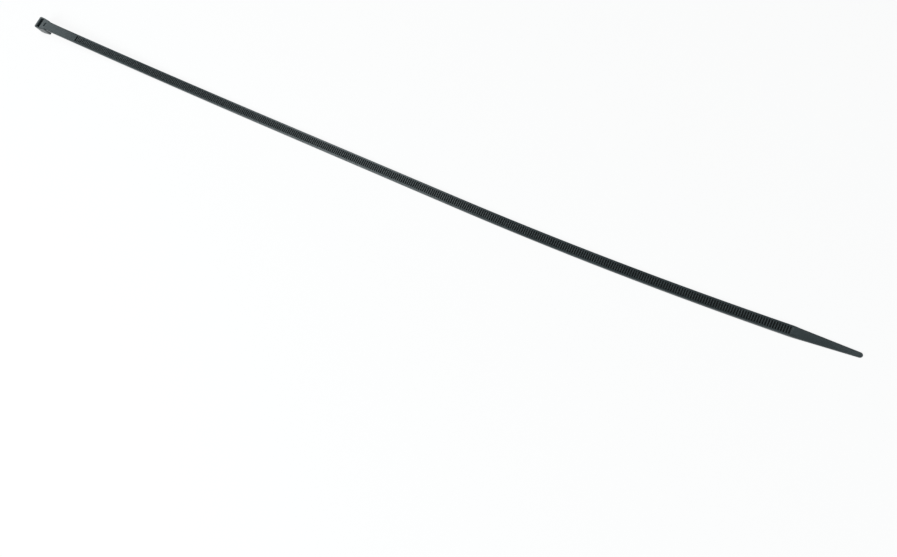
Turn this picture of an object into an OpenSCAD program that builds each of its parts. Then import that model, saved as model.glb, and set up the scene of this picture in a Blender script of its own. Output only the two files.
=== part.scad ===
// One-piece nylon cable tie, lying flat with its teeth up.
//
// The head is at the left and the tip at the right, along +X. The origin is the middle of the
// passage through the head, on the plane that the tie rests on. The tail enters the passage from
// above, through the entry face, and leaves below, through the exit face.

/* [Strap] */
// Length from the far end of the head to the tip, along the strap
tie_l = 430; // [280:10:600]
// Width of the strap
strap_w = 4.8; // [4.5:0.1:6]
// Thickness of the strap over its rails
strap_t = 1.25; // [1.2:0.05:1.5]
// Width of each side rail
rail_w = 0.85; // [0.6:0.05:1]
// Radius of the curve by which the strap comes down from the head and then lies flat
drop_r = 2500; // [1500:100:4000]
// Radius of the gentle sideways sweep that the strap keeps towards its tip
sweep_r = 2000; // [1000:100:8000]
// Length of the swept stretch, up to the tongue
sweep_l = 148; // [20:4:160]

/* [Teeth] */
// Distance from one tooth to the next
tooth_pitch = 1.03; // [0.97:0.02:1.25]
// Height of a tooth from its gullet to its crest
tooth_h = 0.45; // [0.35:0.05:0.5]
// Length of the flat crest of a tooth
tooth_crest = 0.34; // [0.24:0.02:0.46]
// Lean of the steep face of a tooth, along the strap
tooth_lean = 0.06; // [0:0.02:0.12]
// Depth of the crests below the rails
crest_drop = 0.15; // [0.1:0.05:0.2]
// Plain full-thickness neck from the head to the first tooth, at least
neck_l = 20; // [10:1:60]

/* [Tongue] */
// Length of the plain tongue after the last tooth
tongue_l = 26.4; // [20:0.2:36]
// Thickness of the tongue where the teeth end
tongue_t = 1; // [0.9:0.05:1]
// Thickness of the tongue at its tip
tip_t = 0.8; // [0.7:0.05:0.9]
// Width of the rounded tip
tip_w = 2.2; // [1.8:0.1:3]
// Length of the ramp that ends each rail
rail_ramp_l = 2.1; // [1.5:0.1:4]

/* [Head] */
// Height of the head from its exit face to its entry face
head_h = 5.2; // [5:0.1:6]
// Taper of each side of the head, from the entry face to the exit face
head_draft = 0.15; // [0:0.05:0.2]
// Radius of the upright corners at the far end
head_corner_r = 0.8; // [0.5:0.1:1.2]
// Radius of the edges round the entry and exit faces
head_edge_r = 0.25; // [0.15:0.05:0.25]
// Thickness of the abutment wall that the tail's back slides on
abutment_t = 1.3; // [1:0.1:1.6]
// Thickness of the wall that the strap grows from
root_wall_t = 2.5; // [2.1:0.1:3.2]
// Thickness of the wall at each end of the passage
side_wall_t = 0.7; // [0.6:0.05:1.2]
// How far the head still stands proud of each side of the strap where the strap leaves it
shoulder_w = 0.45; // [0.3:0.05:0.6]
// Radius of the web under the root of the strap
root_web_r = 1.6; // [0.8:0.1:2.2]
// Length of the small core-out in the entry face, along the strap
core_out_l = 1.5; // [0.8:0.1:1.7]
// Width of the core-out
core_out_w = 2.3; // [1.4:0.1:3.2]
// Depth of the core-out
core_out_depth = 0.35; // [0.2:0.05:0.7]

/* [Passage and pawl] */
// Clearance on each side of the tail in the passage
passage_side_gap = 0.15; // [0.1:0.05:0.25]
// Clearance over the tail in the passage
passage_face_gap = 0.4; // [0.3:0.05:0.5]
// Clearance between the teeth of the pawl and the gullets of a tail that lies on the abutment
pawl_bite_gap = 0.1; // [0.05:0.05:0.15]
// Width of the lead-in bevel round the entry
lead_in = 0.25; // [0.15:0.05:0.4]
// Radius of the passage's upright corners
passage_corner_r = 0.3; // [0.15:0.05:0.45]
// Number of teeth on the pawl
pawl_teeth = 3; // [2:1:3]
// Thickness of the pawl behind its teeth
pawl_t = 1; // [0.9:0.1:1.3]
// Thickness of the pawl's living hinge
hinge_t = 0.6; // [0.45:0.05:0.8]
// Length of the hinge below the bridge
hinge_l = 0.2; // [0.1:0.05:0.4]
// Height of the pawl's free end above the exit face
pawl_lift = 0.4; // [0.2:0.1:0.6]
// Clearance between the pawl and each rail of the tail
pawl_side_gap = 0.2; // [0.1:0.05:0.3]
// Gap behind the pawl that lets it flex clear of the tail
pawl_back_gap = 0.8; // [0.7:0.1:1.1]
// Thickness of the bridge over the pawl
bridge_t = 1.1; // [1:0.1:1.3]

/* [Hidden] */

// Overrun of cutting and joining shapes
over = 1;
// Flat steps that the drop, the sweep and the web are drawn in
drop_steps = 24;
sweep_steps = 16;
web_steps = 8;
// Facets of round shapes, and of the posts that the head is hulled from
$fn = 48;
post_fn = 32;
// Depth of the slice that the bevelled entry is hulled from
slice = 0.02;

// Levels on the strap, above its back
crest_h = strap_t - crest_drop;
gullet_h = crest_h - tooth_h;

// The passage holds the tail with its back on the abutment wall
passage_t = strap_t + passage_face_gap;
passage_w = strap_w + 2 * passage_side_gap;
abutment_x = -passage_t / 2;
far_x = abutment_x - abutment_t;

// The pawl reaches to the gullets of a tail that lies on the abutment wall
pawl_tip_x = abutment_x + gullet_h + pawl_bite_gap;
pawl_front_x = pawl_tip_x + tooth_h;
pawl_back_x = pawl_front_x + pawl_t;
pawl_w = strap_w - 2 * rail_w - 2 * pawl_side_gap;
well_x = pawl_back_x + pawl_back_gap;
well_top = head_h - bridge_t;
root_x = well_x + root_wall_t;
head_l = root_x - far_x;
head_w = passage_w + 2 * side_wall_t;
head_root_w = strap_w + 2 * shoulder_w;

// The head keeps its full width as far as the pawl's side of the passage. At the root its
// round corners end at the sides of the strap.
shoulder_x = passage_t / 2;
shoulder_r = shoulder_w;

// The strap leaves the head level with the entry face, and reaches the ground after its drop
root_z = head_h - strap_t;
root_turn = acos(1 - root_z / drop_r);
drop_l = drop_r * root_turn * PI / 180;
flat_x = root_x + drop_r * sin(root_turn);
strap_l = tie_l - head_l;
tongue_s = strap_l - tongue_l;
teeth_n = floor((tongue_s - neck_l) / tooth_pitch);
teeth_s = tongue_s - teeth_n * tooth_pitch;

// The core-out ends one of its own corner radii short of the strap
core_out_r = 0.25;
core_out_x = root_x - core_out_r - core_out_l / 2;

// The sweep ends at the tongue, which runs straight on
tongue_x = flat_x + tongue_s - drop_l;
sweep_x = tongue_x - sweep_l;
sweep_turn = asin(sweep_l / sweep_r);

// A point of the side view: s along the back of the strap from the head, h above that back
function on_strap(s, h) =
    let (turn = min(0, s - drop_l) / drop_r * 180 / PI)
    [
        flat_x + max(0, s - drop_l) + (drop_r - h) * sin(turn),
        drop_r - (drop_r - h) * cos(turn)
    ];

// The line at height h over the back, from the head as far as the flat, in flat steps
function drop_line(h) = [for (i = [0 : drop_steps]) on_strap(drop_l * i / drop_steps, h)];

function reversed(points) = [for (i = [len(points) - 1 : -1 : 0]) points[i]];

// A point of the plan: a share of the sweep, at distance d to the left of the middle line
function on_sweep(share, d) =
    let (turn = share * sweep_turn)
    [sweep_x + (sweep_r - d) * sin(turn), sweep_r - (sweep_r - d) * cos(turn)];

function sweep_line(d) = [for (i = [0 : sweep_steps]) on_sweep(i / sweep_steps, d)];

// A point of the plan that is given along and across the tongue
function on_tongue(along, d) = on_sweep(1, d) + along * [cos(sweep_turn), sin(sweep_turn)];

// One tooth: the steep face looks to the head, the long slope runs down towards the tip
function tooth(s) = [
    on_strap(s, gullet_h),
    on_strap(s + tooth_lean, crest_h),
    on_strap(s + tooth_lean + tooth_crest, crest_h)
];

function tooth_line() = [for (i = [0 : teeth_n - 1]) each tooth(teeth_s + i * tooth_pitch)];

// A curve with two ends and one control point, for the web under the root
function blend(a, c, b, n) =
    [for (i = [0 : n]) let (t = i / n) (1 - t) * (1 - t) * a + 2 * t * (1 - t) * c + t * t * b];

// Turns a side view, drawn in X and Z, into a solid of width w about the middle plane
module across(w) {
    rotate([90, 0, 0])
        translate([0, 0, -w / 2])
            linear_extrude(height = w)
                children();
}

// A rectangle with its four corners round, centred on the origin
module round_rect(l, w, r) {
    square([l - 2 * r, w], center = true);
    square([l, w - 2 * r], center = true);
    for (x = [-1, 1], y = [-1, 1]) {
        translate([x * (l / 2 - r), y * (w / 2 - r)])
            circle(r);
    }
}

// The strap seen from above: straight, then swept, then tapered into the round tip
module strap_plan() {
    half = strap_w / 2;
    tip_r = tip_w / 2;
    tip_s = tongue_l - tip_r;
    lean = atan(half / tip_s) - asin(tip_r / norm([tip_s, half]));
    edge_s = tip_s + tip_r * sin(lean);
    edge_d = tip_r * cos(lean);
    polygon(concat(
        [[root_x - over, -half]],
        sweep_line(-half),
        [on_tongue(edge_s, -edge_d), on_tongue(edge_s, edge_d)],
        reversed(sweep_line(half)),
        [[root_x - over, half]]
    ));
    translate(on_tongue(tip_s, 0))
        circle(tip_r);
}

// The channel between the rails seen from above, from the gullet before the first tooth to
// past the rails' ramps
module channel_plan() {
    half = strap_w / 2 - rail_w;
    first_gullet = tooth_pitch - tooth_crest - tooth_lean;
    start = on_strap(teeth_s - first_gullet, gullet_h)[0];
    polygon(concat(
        [[start, -half]],
        sweep_line(-half),
        [on_tongue(tongue_l, -half), on_tongue(tongue_l, half)],
        reversed(sweep_line(half)),
        [[start, half]]
    ));
}

// The strap's full-width core: the ladder of teeth in its channel, and the tongue
module core_side() {
    polygon(concat(
        [[root_x - over, root_z]],
        [[root_x - over, root_z + gullet_h], on_strap(0, gullet_h)],
        tooth_line(),
        [on_strap(tongue_s, tongue_t), on_strap(strap_l + over, tip_t)],
        [on_strap(strap_l + over, 0)],
        reversed(drop_line(0))
    ));
}

// The neck and the rails, from inside the head to the ramps that let the rails down onto the tongue
module rail_side() {
    low = gullet_h / 2;
    ramp_slope = (strap_t - tongue_t) / rail_ramp_l;
    ramp_run = (strap_t - low) / ramp_slope;
    polygon(concat(
        [[root_x - over, root_z + low]],
        [[root_x - over, head_h]],
        drop_line(strap_t),
        [on_strap(tongue_s, strap_t), on_strap(tongue_s + ramp_run, low)],
        reversed(drop_line(low))
    ));
}

// Where the tapered root face of the head stands at height z
function root_face_x(z) =
    root_x - head_draft * (head_h - head_edge_r - z) / (head_h - 2 * head_edge_r);

// The web that thickens the root of the strap under its back
module web_side() {
    web_z = root_z - root_web_r;
    wall_end = [root_face_x(web_z), web_z];
    strap_end = on_strap(root_web_r, 0);
    polygon(concat(
        [[root_x - over, web_z]],
        blend(wall_end, [root_face_x(root_z), root_z], strap_end, web_steps),
        [on_strap(root_web_r, gullet_h / 2)],
        [[root_x - over, root_z + gullet_h / 2]]
    ));
}

module strap() {
    wide = 2 * (on_tongue(tongue_l, 0)[1] + strap_w);
    intersection() {
        translate([0, 0, -over])
            linear_extrude(height = head_h + 2 * over)
                strap_plan();
        union() {
            across(wide)
                core_side();
            difference() {
                across(wide - over)
                    rail_side();
                translate([0, 0, -over])
                    linear_extrude(height = head_h + 2 * over)
                        channel_plan();
            }
            across(wide - 2 * over)
                web_side();
        }
    }
}

// A round post of the head's height, with the head's taper and its round edges
module corner_post(r) {
    e = head_edge_r;
    rotate_extrude($fn = post_fn)
        polygon(concat(
            [[0, 0]],
            [for (a = [-90 : 30 : 0]) [r - head_draft - e + e * cos(a), e + e * sin(a)]],
            [for (a = [0 : 30 : 90]) [r - e + e * cos(a), head_h - e + e * sin(a)]],
            [[0, head_h]]
        ));
}

// The block of the head: square at the far end, with shoulders that close in on the strap
module head_block() {
    hull() {
        for (side = [-1, 1]) {
            translate([far_x + head_corner_r, side * (head_w / 2 - head_corner_r), 0])
                corner_post(head_corner_r);
            translate([shoulder_x, side * (head_w / 2 - shoulder_r), 0])
                corner_post(shoulder_r);
            translate([root_x - shoulder_r, side * (head_root_w / 2 - shoulder_r), 0])
                corner_post(shoulder_r);
        }
    }
}

// The way through the head, with its bevelled entry
module passage() {
    translate([0, 0, -over])
        linear_extrude(height = head_h + 2 * over)
            round_rect(passage_t, passage_w, passage_corner_r);
    hull() {
        translate([0, 0, head_h - lead_in])
            linear_extrude(height = slice)
                round_rect(passage_t, passage_w, passage_corner_r);
        translate([0, 0, head_h])
            linear_extrude(height = lead_in)
                round_rect(passage_t + 2 * lead_in, passage_w + lead_in, passage_corner_r + lead_in / 2);
    }
}

// The small blind recess in the entry face, over the root of the strap
module core_out() {
    translate([core_out_x, 0, head_h - core_out_depth])
        linear_extrude(height = core_out_depth + over)
            round_rect(core_out_l, core_out_w, core_out_r);
}

// The well behind and beside the pawl, open to the exit face and to the passage
module well() {
    corner = pawl_back_gap / 2;
    across(passage_w)
        polygon([
            [0, -over],
            [well_x, -over],
            [well_x, well_top - corner],
            [well_x - corner, well_top],
            [0, well_top]
        ]);
}

// A tooth of the pawl: its steep face looks down, so that a tail pulled back up is held
function pawl_tooth(z) = [
    [pawl_front_x, z + tooth_pitch - tooth_crest / 2],
    [pawl_tip_x, z + tooth_lean],
    [pawl_front_x, z]
];

// The pawl hangs from the bridge by its hinge, and thickens from there to half the well's height
module pawl() {
    first_z = pawl_lift + tooth_crest / 2;
    top_z = first_z + pawl_teeth * tooth_pitch;
    hinge_front = passage_t / 2;
    hinge_back = hinge_front + hinge_t;
    hinge_root = well_top + bridge_t / 3;
    across(pawl_w)
        polygon(concat(
            [[hinge_front, hinge_root], [hinge_front, max(well_top, top_z)]],
            [for (i = [pawl_teeth - 1 : -1 : 0]) each pawl_tooth(first_z + i * tooth_pitch)],
            [[pawl_front_x + tooth_h / 2, pawl_lift], [pawl_back_x, pawl_lift]],
            [[pawl_back_x, well_top / 2], [hinge_back, well_top - hinge_l]],
            [[hinge_back, hinge_root]]
        ));
}

module cable_tie() {
    color([0.09, 0.1, 0.11]) {
        difference() {
            union() {
                head_block();
                strap();
            }
            passage();
            well();
            core_out();
        }
        pawl();
    }
}

cable_tie();
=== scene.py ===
"""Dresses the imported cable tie: a moulded nylon finish, rounded moulding edges and a pale studio."""

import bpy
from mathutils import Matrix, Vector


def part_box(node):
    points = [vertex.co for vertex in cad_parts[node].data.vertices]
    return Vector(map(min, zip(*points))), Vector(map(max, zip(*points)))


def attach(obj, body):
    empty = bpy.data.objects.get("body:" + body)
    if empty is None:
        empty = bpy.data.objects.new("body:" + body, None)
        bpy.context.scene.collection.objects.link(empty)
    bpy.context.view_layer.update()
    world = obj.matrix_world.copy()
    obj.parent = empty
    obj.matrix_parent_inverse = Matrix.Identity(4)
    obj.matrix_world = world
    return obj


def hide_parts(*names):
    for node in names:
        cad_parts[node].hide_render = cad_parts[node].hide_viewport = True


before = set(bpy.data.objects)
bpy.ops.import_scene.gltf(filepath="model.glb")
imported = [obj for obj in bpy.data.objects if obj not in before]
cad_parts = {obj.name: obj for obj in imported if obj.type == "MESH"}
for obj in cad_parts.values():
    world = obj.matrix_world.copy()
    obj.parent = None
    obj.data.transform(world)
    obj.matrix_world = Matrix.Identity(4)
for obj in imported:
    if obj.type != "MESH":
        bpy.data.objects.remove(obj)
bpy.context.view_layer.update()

import functools
import math

import bmesh
import bpy
from bpy.props import FloatProperty, FloatVectorProperty, PointerProperty
from mathutils import Matrix, Vector
from mathutils.bvhtree import BVHTree

bl_info = {
    "name": "Cable tie dresser",
    "version": (1, 0, 0),
    "blender": (4, 5, 0),
    "location": "3D View > Sidebar > Cable tie",
    "description": "Builds the looks of a moulded nylon cable tie around its packed solid",
    "category": "Object",
}

NODE = "cable_tie"
BODY = "root"
MM = 0.001

# The photograph's frame, in pixels
FRAME_WIDTH = 897

# The tie's length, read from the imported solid's box, and where its strap leaves the head
TIE_LOW, TIE_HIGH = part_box(NODE)
TIE_LENGTH = TIE_HIGH[0] - TIE_LOW[0]
STRAP_START = 4.6 * MM

# The strap's course, as in the part: where it starts to lie flat and the radius with which it
# comes down before that, and where it starts to sweep sideways, over what length and how tightly
FLAT_FROM = 145 * MM
DROP_RADIUS = 2500 * MM
SWEEP_FROM = 253 * MM
SWEEP_LENGTH = 148 * MM
SWEEP_RADIUS = 2000 * MM
# The field of teeth: half its width, its ends, and the height of the crests over the back
CHANNEL_HALF = 1.55 * MM
TEETH_FROM = 24.8 * MM
TEETH_TO = 401 * MM
CREST_HEIGHT = 1.1 * MM
# How far under the crests the painted shade and the duller gloss of the gaps are still full, and where
# they end
GAP_FADE = (0.05 * MM, 0.01 * MM)

# Corners this close together become one, and so do faces that meet at less than this angle
WELD = 0.001 * MM
FLAT_ANGLE = math.radians(0.05)
# Parts of a normal: the least that makes a face level, and the most that leaves it upright or
# lets it run across the strap
LEVEL = 0.9
UPRIGHT_Z = 0.05
ACROSS = 0.1
# Least angle of an edge that is rounded
SHARP = math.radians(30)
# How far from a face a look for its neighbours starts
CLEAR = 0.01 * MM
# How many strips make the rounding of the strap's outer edges, and of its finer ones
OUTER_STRIPS = 4
FINE_STRIPS = 2
# How much a face's area counts in the shading of its corners: the most, which keeps it flat
AREA_WEIGHT = 100

# The nylon: how it bends light, the noise values between which its clouds change colour and its
# roughness changes, and the least and the most that clouds and specks add to that roughness
NYLON_IOR = 1.53
COLOUR_RANGE = (0.35, 0.7)
ROUGHNESS_RANGE = (0.3, 0.7)
CLOUD_ROUGHNESS = (-0.05, 0.04)
SPECK_ROUGHNESS = (-0.04, 0.05)
# How many specks or ripples go to a cloud, and how far clouds and ripples are drawn out along the
# strap: a smaller first number draws them out further
SPECKS_PER_CLOUD = 12
RIPPLES_PER_CLOUD = 3
CLOUD_STRETCH = (0.35, 1.0, 1.0)
RIPPLE_STRETCH = (0.5, 1.0, 1.0)
# How strongly the ripples and the grain show, and how high they stand
RIPPLE_BUMP = (0.25, 0.03 * MM)
GRAIN_BUMP = (0.35, 0.01 * MM)

# The point near the tie's middle that the floor lies round and the lamps aim at, the floor's
# size, the share of plain white that the camera sees in it near the tie, and the distances from
# that point over which it turns all white, in metres
MIDDLE = Vector((TIE_LENGTH / 2, 0.0, 0.0))
FLOOR_SIZE = 8.0
FLOOR_WHITENESS = 0.9
FLOOR_FADE = (0.3, 0.6)

# The camera: the width of its sensor in millimetres, and the least distance that it sees, in metres
SENSOR_WIDTH = 36.0
NEAREST_SEEN = 0.01

# The studio's lamps: where each one hangs, its width, both in metres, and its power in watts
LAMPS = {
    "overhead": ((0.0, 0.12, 0.385), 0.25, 0.5),
    "near_left": ((-0.02, -0.35, 0.27), 0.3, 1.7),
    "near_right": ((0.45, -0.35, 0.3), 0.3, 0.65),
    "right": ((0.75, 0.1, 0.35), 0.3, 0.6),
    "head": ((-0.09, 0.02, 0.08), 0.06, 0.016),
}


# Values that a user would change


class NylonFinish(bpy.types.PropertyGroup):
    """Colour and surface of the moulded nylon"""

    colour: FloatVectorProperty(
        name="Colour",
        description="Colour of the black nylon",
        subtype="COLOR",
        size=3,
        min=0.0,
        max=1.0,
        default=(0.0235, 0.031, 0.0335),
    )
    bloom: FloatVectorProperty(
        name="Bloom",
        description="Cool grey tone of the cloudy patches where the nylon has dried",
        subtype="COLOR",
        size=3,
        min=0.0,
        max=1.0,
        default=(0.035, 0.045, 0.048),
    )
    # Painted shade: the near black that the nylon's colour turns to down between the teeth, where
    # shade falls. It is not a colour of the nylon itself.
    gap_shade_colour: FloatVectorProperty(
        name="Gap colour",
        description="Colour down between the teeth, where nothing rubs the nylon grey",
        subtype="COLOR",
        size=3,
        min=0.0,
        max=1.0,
        default=(0.002, 0.003, 0.0035),
    )
    gap_roughness: FloatProperty(
        name="Gap roughness",
        description="How much duller the nylon is down between the teeth",
        default=0.6,
        min=0.0,
        max=1.0,
        subtype="FACTOR",
    )
    roughness: FloatProperty(
        name="Roughness",
        description="Roughness of the satin surface",
        default=0.32,
        min=0.0,
        max=1.0,
        subtype="FACTOR",
    )
    grain_size: FloatProperty(
        name="Grain size",
        description="Size of the fine matte grain that the mould leaves",
        default=0.12 * MM,
        min=0.01 * MM,
        unit="LENGTH",
    )
    cloud_size: FloatProperty(
        name="Cloud size",
        description="Size of the cloudy patches in colour and gloss",
        default=6.0 * MM,
        min=0.1 * MM,
        unit="LENGTH",
    )


class MouldedEdges(bpy.types.PropertyGroup):
    """Rounding that the mould leaves on the edges"""

    rail_round: FloatProperty(
        name="Rail round",
        description="Rounding of the upper edges round the outside of the strap",
        default=0.35 * MM,
        min=0.01 * MM,
        unit="LENGTH",
    )
    inner_round: FloatProperty(
        name="Inner round",
        description="Rounding of the edges of the rails beside the teeth",
        default=0.09 * MM,
        min=0.01 * MM,
        unit="LENGTH",
    )
    tooth_round: FloatProperty(
        name="Tooth round",
        description="Rounding of the edges of each tooth's crest",
        default=0.04 * MM,
        min=0.005 * MM,
        unit="LENGTH",
    )
    edge_angle: FloatProperty(
        name="Edge angle",
        description="Faces that meet at more than this angle make an edge",
        default=math.radians(32),
        subtype="ANGLE",
    )


class Studio(bpy.types.PropertyGroup):
    """Floor, lamps and camera"""

    floor_colour: FloatVectorProperty(
        name="Floor colour",
        description="Colour of the pale floor",
        subtype="COLOR",
        size=3,
        min=0.0,
        max=1.0,
        default=(0.9, 0.9, 0.9),
    )
    lamp_level: FloatProperty(
        name="Lamp level",
        description="Multiplies the power of every lamp",
        default=1.0,
        min=0.0,
    )
    lamp_colour: FloatVectorProperty(
        name="Lamp colour",
        description="Slightly cool white of the lamps and of the even light",
        subtype="COLOR",
        size=3,
        min=0.0,
        max=1.0,
        default=(0.9, 0.985, 1.0),
    )
    sky_strength: FloatProperty(
        name="Sky strength",
        description="Strength of the even light from all round",
        default=0.22,
        min=0.0,
    )
    camera_place: FloatVectorProperty(
        name="Camera place",
        description="Where the camera stands",
        subtype="TRANSLATION",
        unit="LENGTH",
        size=3,
        default=(0.3331, -0.0776, 0.2695),
    )
    camera_target: FloatVectorProperty(
        name="Camera target",
        description="The point on the floor in the middle of the picture",
        subtype="TRANSLATION",
        unit="LENGTH",
        size=3,
        default=(0.26571, -0.03298, 0.0),
    )
    camera_up: FloatVectorProperty(
        name="Camera up",
        description="Direction that is up in the picture",
        subtype="DIRECTION",
        size=3,
        default=(-0.40581, 0.87991, 0.24715),
    )
    focal_pixels: FloatProperty(
        name="Focal length in pixels",
        description="Focal length of the camera, in pixels of the photograph's frame",
        subtype="PIXEL",
        default=640.0,
        min=100.0,
    )


# Helpers


def only(piece):
    """Selects one object alone and makes it the active one."""
    bpy.ops.object.select_all(action="DESELECT")
    piece.select_set(True)
    bpy.context.view_layer.objects.active = piece


def sees_nothing(tree, edge, wall, flat):
    """True where nothing of the tie stands in front of a wall, just beside its edge."""
    middle = (edge.verts[0].co + edge.verts[1].co) / 2
    start = middle + (wall.normal - flat.normal) * CLEAR
    return tree.ray_cast(start, wall.normal)[0] is None


def outer_edge(tree, edge):
    """True for an upper edge round the outside of the strap or the tongue."""
    for wall, flat in (edge.link_faces, reversed(edge.link_faces)):
        if abs(wall.normal.z) < UPRIGHT_Z and flat.normal.z > LEVEL:
            return sees_nothing(tree, edge, wall, flat)
    return False


def inner_edge(tree, edge):
    """True for an edge of a rail beside the teeth."""
    for wall, flat in (edge.link_faces, reversed(edge.link_faces)):
        if abs(wall.normal.y) > LEVEL and flat.normal.z > LEVEL:
            return not sees_nothing(tree, edge, wall, flat)
    return False


def tooth_edge(tree, edge):
    """True for an edge between two faces that both run from one rail to the other."""
    return all(abs(face.normal.y) < ACROSS for face in edge.link_faces)


def round_edges(piece, choose, width, strips):
    """Rounds the sharp edges of the strap that stick out and that choose picks."""
    bpy.ops.mesh.select_mode(type="EDGE")
    bpy.ops.mesh.select_all(action="DESELECT")
    shape = bmesh.from_edit_mesh(piece.data)
    tree = BVHTree.FromBMesh(shape)
    for edge in shape.edges:
        sharp = len(edge.link_faces) == 2 and edge.calc_face_angle_signed() > SHARP
        on_strap = min(end.co.x for end in edge.verts) > STRAP_START
        edge.select_set(sharp and on_strap and choose(tree, edge))
    bmesh.update_edit_mesh(piece.data)
    done = bpy.ops.mesh.bevel(offset=width, segments=strips, affect="EDGES", clamp_overlap=False)
    if done != {"FINISHED"}:
        raise RuntimeError(f"no edge was rounded for {choose.__name__}")


def node_tree(name):
    """A new material with an empty node tree; returns the material, its nodes and its links."""
    material = bpy.data.materials.new(name)
    material.use_nodes = True
    nodes = material.node_tree.nodes
    nodes.clear()
    return material, nodes, material.node_tree.links


def noise(nodes, links, coordinates, size, detail, stretch=(1.0, 1.0, 1.0)):
    """Noise on object coordinates, with features of about the given size in metres."""
    mapping = nodes.new("ShaderNodeMapping")
    mapping.inputs["Scale"].default_value = [part / size for part in stretch]
    texture = nodes.new("ShaderNodeTexNoise")
    texture.inputs["Scale"].default_value = 1.0
    texture.inputs["Detail"].default_value = detail
    links.new(coordinates, mapping.inputs["Vector"])
    links.new(mapping.outputs["Vector"], texture.inputs["Vector"])
    return texture.outputs["Fac"]


def ramp(nodes, links, value, low, high, start, end):
    """Maps a value from the range low to high onto start to end."""
    node = nodes.new("ShaderNodeMapRange")
    node.inputs["From Min"].default_value = low
    node.inputs["From Max"].default_value = high
    node.inputs["To Min"].default_value = start
    node.inputs["To Max"].default_value = end
    links.new(value, node.inputs["Value"])
    return node.outputs["Result"]


def calculate(nodes, links, operation, *values):
    """One step of arithmetic on shader values; a plain number stands for itself."""
    node = nodes.new("ShaderNodeMath")
    node.operation = operation
    for socket, value in zip(node.inputs, values):
        if isinstance(value, bpy.types.NodeSocket):
            links.new(value, socket)
        else:
            socket.default_value = value
    return node.outputs["Value"]


def blend(nodes, links, share, first, second):
    """Turns the first colour into the second by a share; a plain colour stands for itself."""
    node = nodes.new("ShaderNodeMix")
    node.data_type = "RGBA"
    links.new(share, node.inputs["Factor"])
    for name, colour in (("A", first), ("B", second)):
        if isinstance(colour, bpy.types.NodeSocket):
            links.new(colour, node.inputs[name])
        else:
            node.inputs[name].default_value = (*colour, 1.0)
    return node.outputs["Result"]


def bump(nodes, links, height, strength, distance, under=None):
    """A surface that rises with height, on top of an earlier bump if one is given."""
    node = nodes.new("ShaderNodeBump")
    node.inputs["Strength"].default_value = strength
    node.inputs["Distance"].default_value = distance
    links.new(height, node.inputs["Height"])
    if under:
        links.new(under, node.inputs["Normal"])
    return node.outputs["Normal"]


def between_teeth(nodes, links, place):
    """From 0 to 1: how far a point lies down between the teeth, found from its coordinates; it places
    the painted shade and the duller gloss there.
    """
    step = functools.partial(calculate, nodes, links)
    split = nodes.new("ShaderNodeSeparateXYZ")
    links.new(place, split.inputs["Vector"])
    x, y, z = split.outputs

    before_flat = step("MAXIMUM", step("SUBTRACT", FLAT_FROM, x), 0.0)
    back = step("DIVIDE", step("MULTIPLY", before_flat, before_flat), 2 * DROP_RADIUS)
    height = step("SUBTRACT", z, back)

    on_arc = step("MINIMUM", step("MAXIMUM", step("SUBTRACT", x, SWEEP_FROM), 0.0), SWEEP_LENGTH)
    beyond = step("MAXIMUM", step("SUBTRACT", x, SWEEP_FROM + SWEEP_LENGTH), 0.0)
    middle = step(
        "ADD",
        step("DIVIDE", step("MULTIPLY", on_arc, on_arc), 2 * SWEEP_RADIUS),
        step("MULTIPLY", beyond, SWEEP_LENGTH / SWEEP_RADIUS),
    )
    off_middle = step("ABSOLUTE", step("SUBTRACT", y, middle))

    inside = step("LESS_THAN", off_middle, CHANNEL_HALF)
    along = step("MULTIPLY", step("GREATER_THAN", x, TEETH_FROM), step("LESS_THAN", x, TEETH_TO))
    fade = [CREST_HEIGHT - under for under in GAP_FADE]
    low = ramp(nodes, links, height, *fade, 1.0, 0.0)
    return step("MULTIPLY", step("MULTIPLY", inside, along), low)


def nylon_material(finish):
    """Satin black nylon: cloudy in colour and gloss, with the mould's fine grain, and shade painted
    into its colour down between the teeth.
    """
    material, nodes, links = node_tree("black_nylon_satin")
    output = nodes.new("ShaderNodeOutputMaterial")
    surface = nodes.new("ShaderNodeBsdfPrincipled")
    surface.inputs["IOR"].default_value = NYLON_IOR
    links.new(surface.outputs["BSDF"], output.inputs["Surface"])
    place = nodes.new("ShaderNodeTexCoord").outputs["Object"]
    step = functools.partial(calculate, nodes, links)

    clouds = noise(nodes, links, place, finish.cloud_size, detail=4.0, stretch=CLOUD_STRETCH)
    cloudiness = ramp(nodes, links, clouds, *COLOUR_RANGE, 0.0, 1.0)
    colour = blend(nodes, links, cloudiness, finish.colour, finish.bloom)
    # Painted shade: down between the teeth the colour turns to the near-black gap shade colour
    gap = between_teeth(nodes, links, place)
    links.new(blend(nodes, links, gap, colour, finish.gap_shade_colour), surface.inputs["Base Color"])

    specks = noise(nodes, links, place, finish.cloud_size / SPECKS_PER_CLOUD, detail=3.0)
    cloud_ends = [finish.roughness + change for change in CLOUD_ROUGHNESS]
    roughness = step(
        "ADD",
        ramp(nodes, links, clouds, *ROUGHNESS_RANGE, *cloud_ends),
        ramp(nodes, links, specks, *ROUGHNESS_RANGE, *SPECK_ROUGHNESS),
    )
    in_gaps = step("MULTIPLY", gap, finish.gap_roughness)
    links.new(step("ADD", roughness, in_gaps), surface.inputs["Roughness"])

    ripple_size = finish.cloud_size / RIPPLES_PER_CLOUD
    ripples = noise(nodes, links, place, ripple_size, detail=2.0, stretch=RIPPLE_STRETCH)
    grain = noise(nodes, links, place, finish.grain_size, detail=2.0)
    waves = bump(nodes, links, ripples, *RIPPLE_BUMP)
    links.new(bump(nodes, links, grain, *GRAIN_BUMP, waves), surface.inputs["Normal"])
    return material


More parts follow.
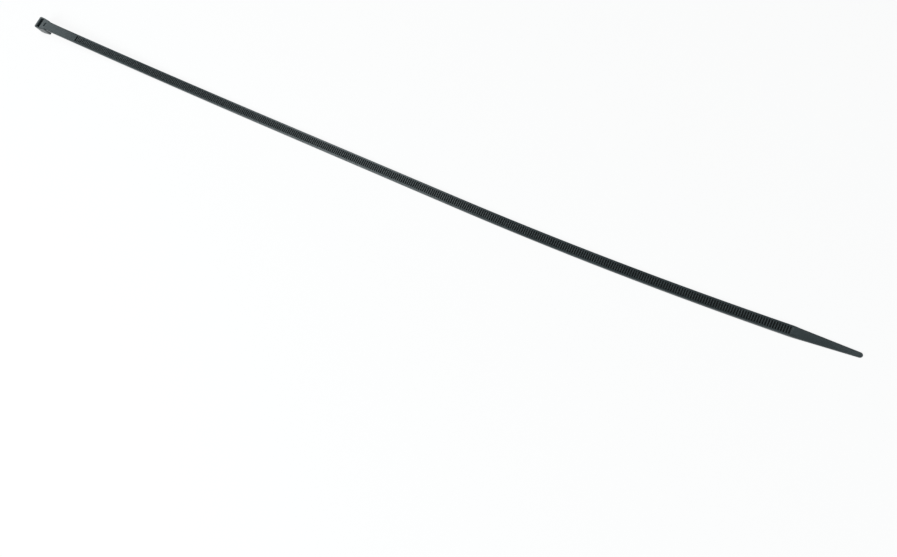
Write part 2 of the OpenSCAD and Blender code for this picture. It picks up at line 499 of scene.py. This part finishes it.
def floor_material(colour):
    """A pale floor that shows as white and keeps the tie's shadow."""
    material, nodes, links = node_tree("pale_floor")
    output = nodes.new("ShaderNodeOutputMaterial")
    matte = nodes.new("ShaderNodeBsdfDiffuse")
    matte.inputs["Color"].default_value = (*colour, 1.0)
    white = nodes.new("ShaderNodeEmission")
    white.inputs["Strength"].default_value = 1.0
    step = functools.partial(calculate, nodes, links)
    rays = nodes.new("ShaderNodeLightPath").outputs
    seen = step("MAXIMUM", rays["Is Camera Ray"], rays["Is Glossy Ray"])
    seen = step("MAXIMUM", seen, rays["Is Transmission Ray"])
    away = nodes.new("ShaderNodeVectorMath")
    away.operation = "DISTANCE"
    away.inputs[1].default_value = MIDDLE
    links.new(nodes.new("ShaderNodeTexCoord").outputs["Object"], away.inputs[0])
    whiteness = ramp(nodes, links, away.outputs["Value"], *FLOOR_FADE, FLOOR_WHITENESS, 1.0)
    mix = nodes.new("ShaderNodeMixShader")
    links.new(step("MULTIPLY", seen, whiteness), mix.inputs["Fac"])
    links.new(matte.outputs["BSDF"], mix.inputs[1])
    links.new(white.outputs["Emission"], mix.inputs[2])
    links.new(mix.outputs["Shader"], output.inputs["Surface"])
    return material


def even_light(colour, strength):
    """A world that lights the tie evenly from all round, and that the camera sees as white."""
    world = bpy.data.worlds.new("even_light")
    world.use_nodes = True
    nodes, links = world.node_tree.nodes, world.node_tree.links
    even = nodes["Background"]
    even.inputs["Color"].default_value = (*colour, 1.0)
    even.inputs["Strength"].default_value = strength
    white = nodes.new("ShaderNodeBackground")
    white.inputs["Color"].default_value = (1.0, 1.0, 1.0, 1.0)
    seen = nodes.new("ShaderNodeMixShader")
    links.new(nodes.new("ShaderNodeLightPath").outputs["Is Camera Ray"], seen.inputs["Fac"])
    links.new(even.outputs["Background"], seen.inputs[1])
    links.new(white.outputs["Background"], seen.inputs[2])
    links.new(seen.outputs["Shader"], nodes["World Output"].inputs["Surface"])
    return world


def round_lamp(name, place, size, power, colour):
    """A soft round lamp that aims at the middle."""
    light = bpy.data.lights.new(name, "AREA")
    light.shape = "DISK"
    light.size = size
    light.energy = power
    light.color = colour
    lamp = bpy.data.objects.new(name, light)
    lamp.location = place
    lamp.rotation_euler = (MIDDLE - lamp.location).to_track_quat("-Z", "Y").to_euler()
    return lamp


def photo_camera(studio):
    """A camera that stands and looks as the photograph's did."""
    lens = bpy.data.cameras.new("photo_camera")
    lens.sensor_width = SENSOR_WIDTH
    lens.lens = studio.focal_pixels / FRAME_WIDTH * SENSOR_WIDTH
    lens.clip_start = NEAREST_SEEN
    camera = bpy.data.objects.new("photo_camera", lens)
    place = Vector(studio.camera_place)
    back = (place - Vector(studio.camera_target)).normalized()
    right = Vector(studio.camera_up).cross(back).normalized()
    turn = Matrix((right, back.cross(right), back)).transposed()
    camera.matrix_world = Matrix.Translation(place) @ turn.to_4x4()
    return camera


# Operators


class OBJECT_OT_moulded_tie(bpy.types.Operator):
    """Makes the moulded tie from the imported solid, with rounded edges and its nylon finish"""

    bl_idname = "object.moulded_tie"
    bl_label = "Moulded tie"

    def execute(self, context):
        edges = context.scene.moulded_edges
        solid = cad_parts[NODE]
        piece = solid.copy()
        piece.data = solid.data.copy()
        piece.name = "moulded_tie"
        piece.data.name = "moulded_tie"
        context.scene.collection.objects.link(piece)
        only(piece)
        bpy.ops.object.mode_set(mode="EDIT")
        bpy.ops.mesh.select_all(action="SELECT")
        bpy.ops.mesh.remove_doubles(threshold=WELD)
        bpy.ops.mesh.dissolve_limited(angle_limit=FLAT_ANGLE)

        round_edges(piece, outer_edge, edges.rail_round, OUTER_STRIPS)
        round_edges(piece, inner_edge, edges.inner_round, FINE_STRIPS)
        round_edges(piece, tooth_edge, edges.tooth_round, FINE_STRIPS)

        bpy.ops.mesh.select_all(action="DESELECT")
        bpy.ops.mesh.edges_select_sharp(sharpness=edges.edge_angle)
        bpy.ops.mesh.mark_sharp()
        bpy.ops.mesh.select_all(action="DESELECT")
        bpy.ops.object.mode_set(mode="OBJECT")
        bpy.ops.object.shade_smooth(keep_sharp_edges=True)
        flat = piece.modifiers.new("flat_faces_flat", "WEIGHTED_NORMAL")
        flat.keep_sharp = True
        flat.weight = AREA_WEIGHT
        bpy.ops.object.modifier_apply(modifier=flat.name)

        piece.data.materials.clear()
        piece.data.materials.append(nylon_material(context.scene.nylon_finish))
        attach(piece, BODY)
        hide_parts(NODE)
        return {"FINISHED"}


class SCENE_OT_tie_studio(bpy.types.Operator):
    """Makes the floor, the lamps and the camera"""

    bl_idname = "scene.tie_studio"
    bl_label = "Studio"

    def execute(self, context):
        studio = context.scene.studio
        bpy.ops.object.select_all(action="DESELECT")
        bpy.ops.mesh.primitive_plane_add(size=FLOOR_SIZE, location=MIDDLE)
        floor = context.active_object
        floor.name = "floor"
        bpy.ops.object.transform_apply(location=True)
        floor.data.materials.append(floor_material(studio.floor_colour))

        context.scene.world = even_light(studio.lamp_colour, studio.sky_strength)
        for name, (place, size, power) in LAMPS.items():
            lamp = round_lamp(name, place, size, power * studio.lamp_level, studio.lamp_colour)
            context.scene.collection.objects.link(lamp)

        camera = photo_camera(studio)
        context.scene.collection.objects.link(camera)
        context.scene.camera = camera
        context.scene.view_settings.view_transform = "Standard"
        return {"FINISHED"}


class VIEW3D_PT_cable_tie(bpy.types.Panel):
    """Lists the steps that make the dressed tie"""

    bl_label = "Cable tie"
    bl_idname = "VIEW3D_PT_cable_tie"
    bl_space_type = "VIEW_3D"
    bl_region_type = "UI"
    bl_category = "Cable tie"

    def draw(self, context):
        for group in GROUPS:
            settings = getattr(context.scene, group)
            for name in settings.__annotations__:
                self.layout.prop(settings, name)
        for step in (OBJECT_OT_moulded_tie, SCENE_OT_tie_studio):
            self.layout.operator(step.bl_idname)


GROUPS = {"nylon_finish": NylonFinish, "moulded_edges": MouldedEdges, "studio": Studio}
CLASSES = (*GROUPS.values(), OBJECT_OT_moulded_tie, SCENE_OT_tie_studio, VIEW3D_PT_cable_tie)


def register():
    for item in CLASSES:
        bpy.utils.register_class(item)
    for name, group in GROUPS.items():
        setattr(bpy.types.Scene, name, PointerProperty(type=group))


def unregister():
    for name in GROUPS:
        delattr(bpy.types.Scene, name)
    for item in reversed(CLASSES):
        bpy.utils.unregister_class(item)


def main():
    register()
    bpy.ops.object.moulded_tie()
    bpy.ops.scene.tie_studio()


if __name__ == "__main__":
    main()
